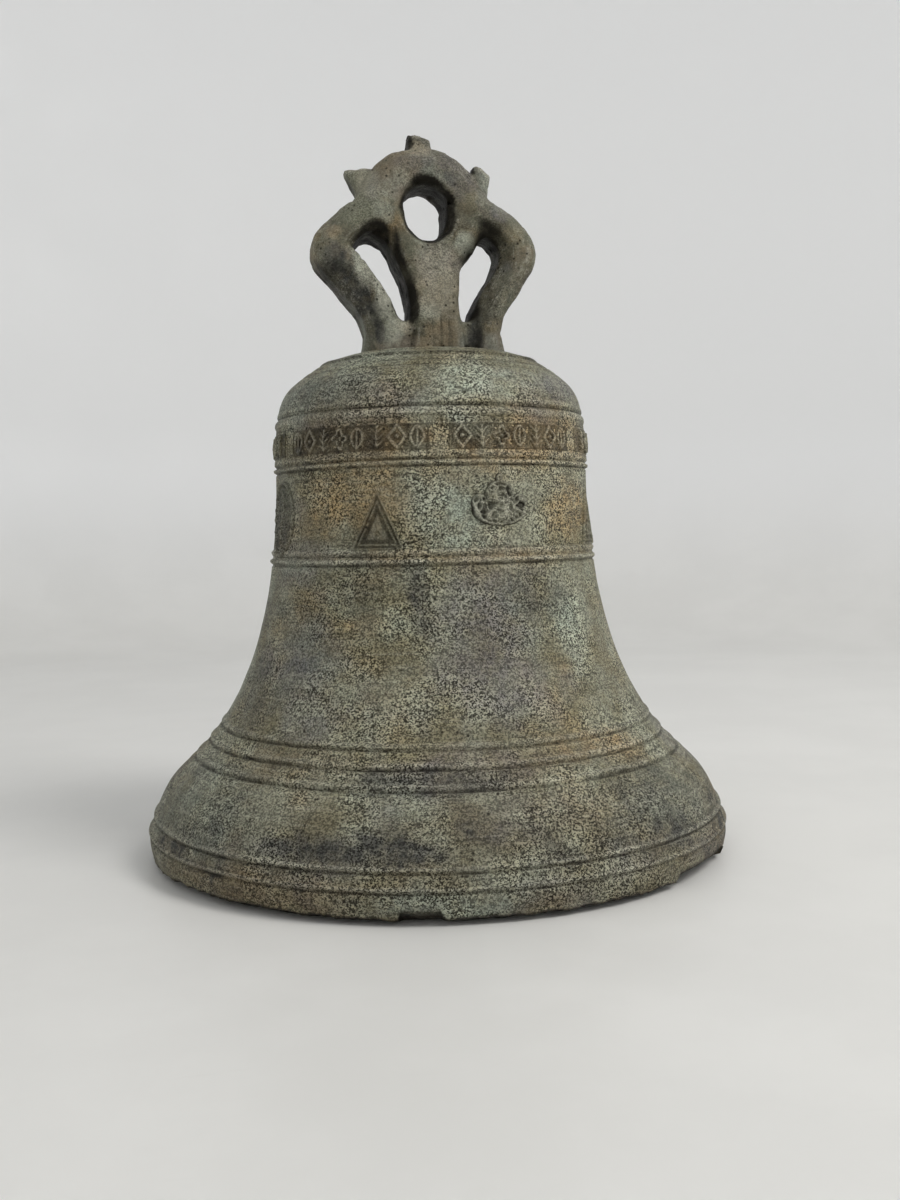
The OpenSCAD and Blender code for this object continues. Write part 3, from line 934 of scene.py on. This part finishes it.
class CrownRoom:
    """The crown's solid on its grid, to measure how deep in a hollow each vertex lies."""

    def __init__(self, field, low, vertices, normals):
        self.room = np.pad(field, AIR, constant_values=1.0)
        self.low, self.vertices, self.normals = low, vertices, normals

    def cells(self, off):
        at = np.round((self.vertices + off * self.normals - self.low) / VOXEL)
        return tuple((at.astype(int) + AIR).T)

    def crowding(self, reach, off):
        """Solid share of the cube that reaches so far each way from a point off the surface."""
        return solid_share(self.room, reach)[self.cells(off)]

    def broad_normals(self):
        """Normals of the shape without its small lumps."""
        slopes = np.gradient(solid_share(self.room, 3))
        broad = -np.stack([slope[self.cells(0)] for slope in slopes], axis=-1)
        return broad / np.linalg.norm(broad, axis=-1, keepdims=True)


def crown_grime_and_shade(room, vertices, normals):
    """Dirt and painted shade in the hollows; painted shade under the loops, on the sides that face
    away from the light and on the eye's inner walls; dirt in the web's scratches.
    """
    # Painted shade, with some dirt, where much solid crowds round a point, as in hollows.
    hollow_dirt_and_shade = np.maximum.reduce([ramp(room.crowding(4, 5.5), 0.03, 0.26),
                                ramp(room.crowding(9, 10.5), 0.05, 0.32),
                                0.7 * ramp(room.crowding(15, 17), 0.12, 0.4)])
    x, height = vertices[:, 0], vertices[:, 2] - PLATE_TOP
    broad = room.broad_normals()
    # Painted shade under the loops, on the sides that face -X, away from the light, and on the
    # eye's inner walls.
    shade_under = ramp(-broad[:, 2], 0.25, 0.6) * (0.3 + 0.7 * ramp(height, 36, 52))
    shaded_side = ramp(-broad[:, 0], 0.3, 0.6) * ramp(x, -27, -21) * ramp(34 - x, 0, 6)
    across, up = eye_axes(x, vertices[:, 2])
    from_eye = np.hypot(across / EYE_HALF_W, up / EYE_HALF_H)
    eye_wall_shade = ramp(1.4 - from_eye, 0, 0.12) * ramp(0.85 - np.abs(broad[:, 1]), 0, 0.3)
    grime_and_shade = np.maximum.reduce([hollow_dirt_and_shade, shade_under, shaded_side, eye_wall_shade])
    grime_and_shade = grime_and_shade * (0.97 + 0.15 * noise(vertices, 8, 95))
    on_web = ridge(x - 4, 18) * ramp(28 - height, 0, 8) * ramp(np.abs(normals[:, 1]), 0.5, 0.8)
    scored = 0.5 * ramp(noise(vertices, (1.6, 60, 60), 99), 0.1, 0.5) * on_web
    return np.maximum(grime_and_shade, scored)


def make_crown(material):
    margin = 4
    low = np.array([crown_low.x - margin, crown_low.y - margin, PLATE_TOP - margin])
    high = np.array(crown_high) + margin
    grids = [np.arange(a, b, VOXEL) for a, b in zip(low, high)]
    field = crown_field(*grids)
    vertices, faces = surface_net(field, low, VOXEL)
    piece = make_piece("crown_casting", vertices, faces, material)
    normals = np.zeros(len(piece.data.vertices) * 3)
    piece.data.vertices.foreach_get("normal", normals)
    normals = normals.reshape(-1, 3)
    room = CrownRoom(field, low, vertices, normals)
    stains, pale_and_lit = crown_stains_and_light(vertices)
    edges = ramp(0.5 - room.crowding(3, 0), 0.06, 0.18) * (0.55 + 0.5 * noise(vertices, 10, 96))
    set_mask(piece, "grime_and_shade", crown_grime_and_shade(room, vertices, normals))
    # Edge wear, with painted light on the lit faces of the stem and left canon.
    set_mask(piece, "wear", np.maximum(edges, pale_and_lit))
    set_stains(piece, stains)
    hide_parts("crown")


# Stains on the crown as [x, height over the plate, half width, half height,
# brown, violet, verdigris, dark, pale]. In places the dark is painted shade, along the left
# canon's groove and on its outer lower side, and the pale is painted light, on the lit front
# faces of the stem and the left canon.
CROWN_STAINS_AND_PAINTED_LIGHT = [
    [-22, 108, 14, 20, 0.7, 0.1, 0, 0.25, 0.15], [-14, 116, 9, 6, 0.4, 0.2, 0, 0.45, 0],
    [57, 48, 8, 20, 0.3, 0.1, 0, 0.35, 0], [-6, 125, 9, 6, 0.7, 0, 0, 0, 0.5],
    [18, 112, 16, 19, 0.4, 0.6, 0, 0.5, 0], [34, 92, 7, 12, 0.3, 0.2, 0, 0.5, 0],
    [44, 86, 7, 6, 0.2, 0.7, 0, 0, 0.1], [38, 96, 14, 8, 0, 0.1, 0.3, 0.1, 0.1],
    [58, 60, 8, 9, 0.45, 0.1, 0, 0.1, 0], [-43, 54, 6, 12, 0, 0, 0.6, 0, 0.6],
    [-31, 36, 6, 16, 0, 0, 0.6, 0, 0.8], [-25, 14, 8, 11, 0, 0, 0.6, 0, 0.6],
    [-60, 73, 7, 5, 0.6, 0.1, 0, 0, 0.2], [-61, 58, 6, 9, 0.1, 0.4, 0, 0.5, 0],
    [-50, 40, 6, 9, 0, 0.1, 0.1, 0.6, 0], [4, 44, 17, 28, 0.5, 0, 0, 0, 0.6],
    [-2, 26, 9, 6, 0.1, 0, 0.4, 0, 0.6], [8, 12, 15, 10, 0.9, 0, 0, 0.4, 0.15],
    [-17, 16, 6, 4, 0.6, 0, 0, 0, 0.8], [-14, 6, 18, 6, 0.6, 0, 0, 0.15, 0.2],
    [26, 10, 6, 11, 0.1, 0, 0, 1, 0], [20, 67, 9, 7, 0, 0, 0.55, 0, 0.3],
    [36, 12, 8, 11, 0.4, 0, 0.1, 0.2, 0], [46, 44, 7, 12, 0.1, 0, 0.2, 0.35, 0],
    [-38, 104, 8, 12, 0.3, 0, 0.2, 0, 0.5], [-30, 86, 9, 7, 0, 0, 0.4, 0, 0.2],
    [-33, 14, 3.4, 8, 0, 0, 0, 1, 0], [-36, 23, 4.0, 8, 0, 0, 0, 1, 0],
    [-41.5, 32, 4.6, 9, 0, 0, 0, 1, 0], [-47, 40, 5.4, 9, 0, 0, 0, 1, 0],
    [-53, 48, 6.0, 9, 0, 0.1, 0, 1, 0], [-58, 56, 6.2, 9, 0, 0.1, 0, 0.9, 0],
]


def crown_stains_and_light(vertices):
    """The crown's four stain weights, and how pale it is: worn, and painted light on its lit
    faces.
    """
    x, height = vertices[:, 0], vertices[:, 2] - PLATE_TOP
    weights = np.zeros((len(vertices), STAIN_COLOURS + 1))
    for k in range(STAIN_COLOURS):
        wide = noise(vertices, 24, 100 + k) + 0.5 * noise(vertices, 9, 110 + k)
        weights[:, k] = 0.42 * ramp(wide, 0.1, 0.9)
    edge = layers(vertices, [0.3, 9, 97], [0.25, 3.5, 89])
    for middle_x, middle_z, half_w, half_h, *amounts in CROWN_STAINS_AND_PAINTED_LIGHT:
        far = np.hypot((x - middle_x) / half_w, (height - middle_z) / half_h)
        inside = ramp(1.2 - far + edge, 0, 0.7)
        weights = np.maximum(weights, inside[:, None] * np.array(amounts))
    weights = np.clip(weights, 0, 1)
    return weights[:, :STAIN_COLOURS], weights[:, STAIN_COLOURS]


# ---------------- materials

class Paint:
    """A material's nodes, added one at a time."""

    def __init__(self, name):
        self.material = bpy.data.materials.new(name)
        self.material.use_nodes = True
        self.tree = self.material.node_tree
        self.shader = next(n for n in self.tree.nodes if n.type == "BSDF_PRINCIPLED")
        self.place = self.add("ShaderNodeTexCoord").outputs["Object"]

    def add(self, kind, inputs=(), **settings):
        node = self.tree.nodes.new(kind)
        for key, value in settings.items():
            setattr(node, key, value)
        for key, value in dict(inputs).items():
            self.put(node.inputs[key], value)
        return node

    def put(self, socket, value):
        if isinstance(value, bpy.types.NodeSocket):
            self.tree.links.new(value, socket)
        else:
            socket.default_value = value

    def mask(self, name):
        return self.add("ShaderNodeAttribute", attribute_name=name).outputs["Fac"]

    def stains(self):
        node = self.add("ShaderNodeAttribute", attribute_name="stains")
        split = self.add("ShaderNodeSeparateColor", {"Color": node.outputs["Color"]})
        return [*[split.outputs[k] for k in ("Red", "Green", "Blue")], node.outputs["Alpha"]]

    def scaled(self, size, stretch=(1, 1, 1)):
        """The place on the piece in units of size millimetres, stretched along each axis."""
        scale = tuple(1 / (size * MM * s) for s in stretch)
        return self.add("ShaderNodeMapping", {"Vector": self.place, "Scale": scale}).outputs[0]

    def voronoi(self, size, output):
        inputs = {"Vector": self.scaled(size), "Scale": 1.0}
        return self.add("ShaderNodeTexVoronoi", inputs).outputs[output]

    def noise(self, size, detail=3.0, rough=0.6, stretch=(1, 1, 1)):
        """Noise from 0 to 1 with features of about size millimetres, stretched along each axis."""
        at = self.scaled(size, stretch)
        inputs = {"Vector": at, "Scale": 1.0, "Detail": detail, "Roughness": rough}
        return self.add("ShaderNodeTexNoise", inputs).outputs["Fac"]

    def pits(self, spacing):
        """Round pits about a millimetre wide in some of the cells of a pattern."""
        dot = self.span(self.voronoi(spacing, "Distance"), 0.13, 0.24, 1, 0)
        some = self.span(self.noise(20, detail=2), 0.48, 0.58, 0.1, 0.85)
        return self.times(dot, some)

    def cells(self, size):
        """A random value from 0 to 1 for each small cell of about size millimetres."""
        cell = self.voronoi(size, "Color")
        return self.add("ShaderNodeSeparateColor", {"Color": cell}).outputs["Red"]

    def span(self, value, low, high, to_low=0.0, to_high=1.0):
        inputs = {"Value": value, "From Min": low, "From Max": high,
                  "To Min": to_low, "To Max": to_high}
        return self.add("ShaderNodeMapRange", inputs, interpolation_type="SMOOTHSTEP").outputs[0]

    def sum(self, *values):
        total = values[0]
        for value in values[1:]:
            total = self.join("ADD", total, value)
        return total

    def join(self, operation, a, b):
        return self.add("ShaderNodeMath", {0: a, 1: b}, operation=operation).outputs[0]

    def times(self, a, b):
        return self.join("MULTIPLY", a, b)

    def mix(self, share, a, b, blend_type="MIX"):
        node = self.add("ShaderNodeMix", data_type="RGBA", blend_type=blend_type)
        for key, value in (("Factor_Float", share), ("A_Color", a), ("B_Color", b)):
            socket = next(s for s in node.inputs if s.identifier == key)
            colour = isinstance(value, tuple)
            self.put(socket, (*value, 1) if colour else value)
        return next(s for s in node.outputs if s.identifier == "Result_Color")

    def bump(self, height, distance, strength):
        inputs = {"Height": height, "Distance": distance * MM, "Strength": strength}
        return self.add("ShaderNodeBump", inputs).outputs[0]

    def finish(self, colour, roughness, normal, **constants):
        self.put(self.shader.inputs["Base Color"], colour)
        self.put(self.shader.inputs["Roughness"], roughness)
        self.put(self.shader.inputs["Normal"], normal)
        for key, value in constants.items():
            self.shader.inputs[key.replace("_", " ")].default_value = value
        return self.material


GREY_GREEN = (0.238, 0.240, 0.182)
OLIVE = (0.170, 0.155, 0.098)
CROWN_LIGHT = (0.165, 0.167, 0.122)
CROWN_DARK = (0.095, 0.086, 0.059)
BROWN = (0.266, 0.197, 0.104)
VIOLET = (0.138, 0.131, 0.141)
VERDIGRIS = (0.290, 0.322, 0.262)
SOOT = (0.052, 0.052, 0.047)
# Nearly black, for dirt and for painted shade.
DIRT_AND_SHADE = (0.016, 0.014, 0.010)
PALE = (0.420, 0.410, 0.340)
PITTED = (0.030, 0.028, 0.023)
SPECK_DARK = (0.08, 0.075, 0.065)
SPECK_LIGHT = (2.45, 2.45, 2.4)
IRON_DARK = (0.055, 0.042, 0.034)
IRON_BROWN = (0.135, 0.068, 0.036)
RUST = (0.23, 0.10, 0.045)
HAMMERED = (0.035, 0.033, 0.034)
LEATHER_DARK = (0.10, 0.052, 0.026)
LEATHER_WORN = (0.19, 0.105, 0.055)
LEATHER_CREASE = (0.045, 0.024, 0.013)
FLOOR_DULL = (0.795, 0.79, 0.765)
FLOOR_CLEAN = (0.83, 0.825, 0.80)
FLOOR_SCUFFED = (0.72, 0.715, 0.69)
WALL_WHITE = (0.90, 0.905, 0.91)


def patina(name, light, dark, speckle, turned, worn):
    """Weathered bell bronze: layers of patina, specks, turning lines, and dirt and painted shade
    in the hollows.
    """
    p = Paint(name)
    brown, violet, verdigris, dark_stain_and_shade = p.stains()
    drift = p.noise(34, detail=4, rough=0.55)
    cloudy = p.noise(9, detail=5, rough=0.65)
    grain = p.cells(0.7)
    specks = p.noise(1.5, detail=3, rough=0.8)
    lines = p.noise(1.8, detail=3, rough=0.65, stretch=(30, 30, 1))
    broken_up = p.span(cloudy, 0.35, 0.65, 0.5, 1.2)
    colour = p.mix(p.span(drift, 0.38, 0.62), dark, light)
    for weight, stain in ((brown, BROWN), (violet, VIOLET), (verdigris, VERDIGRIS)):
        colour = p.mix(p.times(weight, broken_up), colour, stain)
    # The dark stain: dark patina, and on the crown painted shade in places.
    colour = p.mix(p.times(dark_stain_and_shade, broken_up), colour, SOOT)
    if turned:
        colour = p.mix(p.span(lines, 0.5, 0.75, 0, 0.22 * turned), colour, PALE)
        colour = p.mix(p.span(lines, 0.48, 0.3, 0, 0.35 * turned), colour, SOOT)
    colour = p.mix(p.times(p.mask("wear"), worn), colour, PALE)
    rough_area = p.span(p.noise(30, detail=3), 0.4, 0.6, 0.5, 1.0)
    salt = p.mix(p.span(grain, 0.2, 0.85), SPECK_DARK, SPECK_LIGHT)
    colour = p.mix(p.times(rough_area, speckle), colour, p.mix(1.0, colour, salt, "MULTIPLY"))
    crumbs = p.times(p.span(specks, 0.55, 0.62), rough_area)
    colour = p.mix(p.times(crumbs, 0.6 * speckle), colour, PITTED)
    colour = p.mix(p.pits(4.2), colour, DIRT_AND_SHADE)
    # Dirt and painted shade where the vertex mask says, in a nearly black colour.
    dirt_and_shade = p.times(p.mask("grime_and_shade"), p.span(cloudy, 0.3, 0.6, 0.8, 1.1))
    colour = p.mix(dirt_and_shade, colour, DIRT_AND_SHADE)
    height = p.sum(p.times(grain, 0.8), p.times(specks, 0.8),
                   p.times(cloudy, 1.2), p.times(lines, 0.7 * turned))
    normal = p.bump(height, 0.6, 0.9)
    gloss = p.span(cloudy, 0.3, 0.7, 0.50, 0.68)
    return p.finish(colour, gloss, normal, Metallic=0.1, Specular_IOR_Level=0.15)


def forged_iron(name):
    """Hand-forged iron, brown with old rust and darker where it was hammered."""
    p = Paint(name)
    patches = p.noise(14, detail=5, rough=0.6)
    grain = p.noise(1.6, detail=4, rough=0.7)
    hammer = p.noise(7, detail=1, rough=0.4)
    colour = p.mix(p.span(patches, 0.38, 0.62), IRON_DARK, IRON_BROWN)
    colour = p.mix(p.span(grain, 0.55, 0.7, 0, 0.7), colour, RUST)
    colour = p.mix(p.span(hammer, 0.6, 0.75, 0, 0.5), colour, HAMMERED)
    height = p.sum(p.times(hammer, 2.5), p.times(grain, 0.6))
    rough = p.span(patches, 0.35, 0.65, 0.55, 0.85)
    return p.finish(colour, rough, p.bump(height, 0.7, 0.8), Metallic=0.55, Specular_IOR_Level=0.4)


LEATHER_PEBBLE = 10 / 9


def old_leather(name):
    """Dark oiled leather with a pebbled grain."""
    p = Paint(name)
    pebbles = p.voronoi(LEATHER_PEBBLE, "Distance")
    stains = p.noise(6, detail=4)
    colour = p.mix(p.span(stains, 0.35, 0.65), LEATHER_DARK, LEATHER_WORN)
    colour = p.mix(p.span(pebbles, 0.45, 0.8, 0, 0.6), colour, LEATHER_CREASE)
    rough = p.span(stains, 0.3, 0.7, 0.5, 0.75)
    return p.finish(colour, rough, p.bump(pebbles, 0.25, 0.7), Specular_IOR_Level=0.4)


def pale_floor(name):
    """Matt white paint with faint wear."""
    p = Paint(name)
    wear = p.noise(160, detail=5, rough=0.6)
    scuffs = p.noise(12, detail=4, rough=0.7, stretch=(9, 1, 1))
    colour = p.mix(p.span(wear, 0.35, 0.65), FLOOR_DULL, FLOOR_CLEAN)
    colour = p.mix(p.span(scuffs, 0.62, 0.8, 0, 0.25), colour, FLOOR_SCUFFED)
    height = p.add("ShaderNodeSeparateXYZ", {"Vector": p.place}).outputs["Z"]
    colour = p.mix(p.span(height, 0.0, 0.35), colour, WALL_WHITE)
    return p.finish(colour, p.span(wear, 0.3, 0.7, 0.42, 0.55), p.bump(scuffs, 0.1, 0.3))


# ---------------- stage, light and camera

ROOM_R = 1.75  # metres, outside the camera
ROOM_H = 2.3
COVE_R = 0.42
ROOM_COLUMNS = 96
COVE_ROWS = 14


def make_room(material):
    """A round floor that curves up into a wall on all sides."""
    profile = [(0.0, 0.0), (0.45, 0.0), (0.9, 0.0)]
    for k in range(COVE_ROWS + 1):
        a = math.radians(90 * k / COVE_ROWS)
        profile.append((ROOM_R - COVE_R + COVE_R * math.sin(a), COVE_R * (1 - math.cos(a))))
    profile.append((ROOM_R, ROOM_H))
    turn = np.arange(ROOM_COLUMNS) * 2 * math.pi / ROOM_COLUMNS
    rings = [np.stack([r * np.cos(turn), r * np.sin(turn), z + 0 * turn], axis=-1)
             for r, z in profile[1:]]
    vertices = np.vstack([[(0.0, 0.0, 0.0)], *rings])
    n = ROOM_COLUMNS
    faces = fan_faces(n)
    for i in range(len(rings) - 1):
        faces += ring_faces(1 + i * n, 1 + (i + 1) * n, n)
    new_object("room", vertices / MM, faces, material)


KEY_PLACE = (1.1, -0.95, 1.8)
KEY_TARGET = (0, 0, 0.2)
KEY_SIZE = 0.8
KEY_POWER = 21.5
KEY_COLOUR = (1.0, 0.985, 0.96)
WORLD_STRENGTH = 0.44
WORLD_COLOUR = (0.97, 0.985, 1.0, 1.0)


def make_light():
    world = bpy.data.worlds.new("sky")
    world.use_nodes = True
    back = world.node_tree.nodes["Background"]
    back.inputs["Color"].default_value = WORLD_COLOUR
    back.inputs["Strength"].default_value = WORLD_STRENGTH
    bpy.context.scene.world = world
    bpy.context.scene.view_settings.view_transform = "Standard"
    data = bpy.data.lights.new("key", "AREA")
    data.shape = "RECTANGLE"
    data.size = KEY_SIZE
    data.size_y = KEY_SIZE
    data.energy = KEY_POWER
    data.color = KEY_COLOUR
    light = bpy.data.objects.new("key", data)
    light.location = KEY_PLACE
    light.rotation_mode = "QUATERNION"
    aim = Vector(KEY_TARGET) - Vector(KEY_PLACE)
    light.rotation_quaternion = aim.to_track_quat("-Z", "Y")
    bpy.context.scene.collection.objects.link(light)


CAMERA_BEARING = -10.0
CAMERA_DISTANCE = 783.6
CAMERA_HEIGHT = 197.5
CAMERA_PAN = 0.754  # to the right, in degrees
CAMERA_TILT = -3.2  # downwards
CAMERA_ROLL = 1.19
CAMERA_LENS = 36.92
SENSOR = 36.0


def make_camera():
    data = bpy.data.cameras.new("camera")
    data.lens = CAMERA_LENS
    data.sensor_width = SENSOR
    data.clip_start = 0.02
    data.clip_end = 20
    data.dof.use_dof = False
    heading = math.radians(CAMERA_BEARING - CAMERA_PAN)
    tilt = math.radians(CAMERA_TILT)
    roll = math.radians(CAMERA_ROLL)
    forward = Vector((-math.sin(heading) * math.cos(tilt), math.cos(heading) * math.cos(tilt),
                      math.sin(tilt)))
    side = Vector((math.cos(heading), math.sin(heading), 0))
    above = side.cross(forward)
    right = side * math.cos(roll) - above * math.sin(roll)
    up = side * math.sin(roll) + above * math.cos(roll)
    place = Vector(ring_point(np.float64(CAMERA_BEARING), CAMERA_DISTANCE, CAMERA_HEIGHT)) * MM
    turned = Matrix((right, up, -forward)).transposed()
    camera = bpy.data.objects.new("camera", data)
    camera.matrix_world = Matrix.Translation(place) @ turned.to_4x4()
    bpy.context.scene.collection.objects.link(camera)
    bpy.context.scene.camera = camera


# ---------------- the scene

bell_bronze = patina("bell_bronze", GREY_GREEN, OLIVE, speckle=0.9, turned=1.0, worn=0.4)
relief_bronze = patina("relief_bronze", GREY_GREEN, OLIVE, speckle=0.5, turned=0.3, worn=0.5)
crown_bronze = patina("crown_bronze", CROWN_LIGHT, CROWN_DARK, speckle=0.32, turned=0.0, worn=0.65)
iron = forged_iron("forged_iron")
leather = old_leather("leather")

NODE_MATERIALS = {
    "crown_staple": iron, "clapper": iron, "pivot_bolt": iron, "bolt_washer": iron,
    "bolt_nut": iron, "split_pin": iron, "clapper_bush": leather, "cheek_washers": leather,
}

make_camera()
make_light()
make_room(pale_floor("pale_floor"))
make_bell_body(bell_bronze)
make_reliefs(relief_bronze)
make_crown(crown_bronze)
for node, material in NODE_MATERIALS.items():
    for material_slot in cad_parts[node].material_slots:
        material_slot.material = material
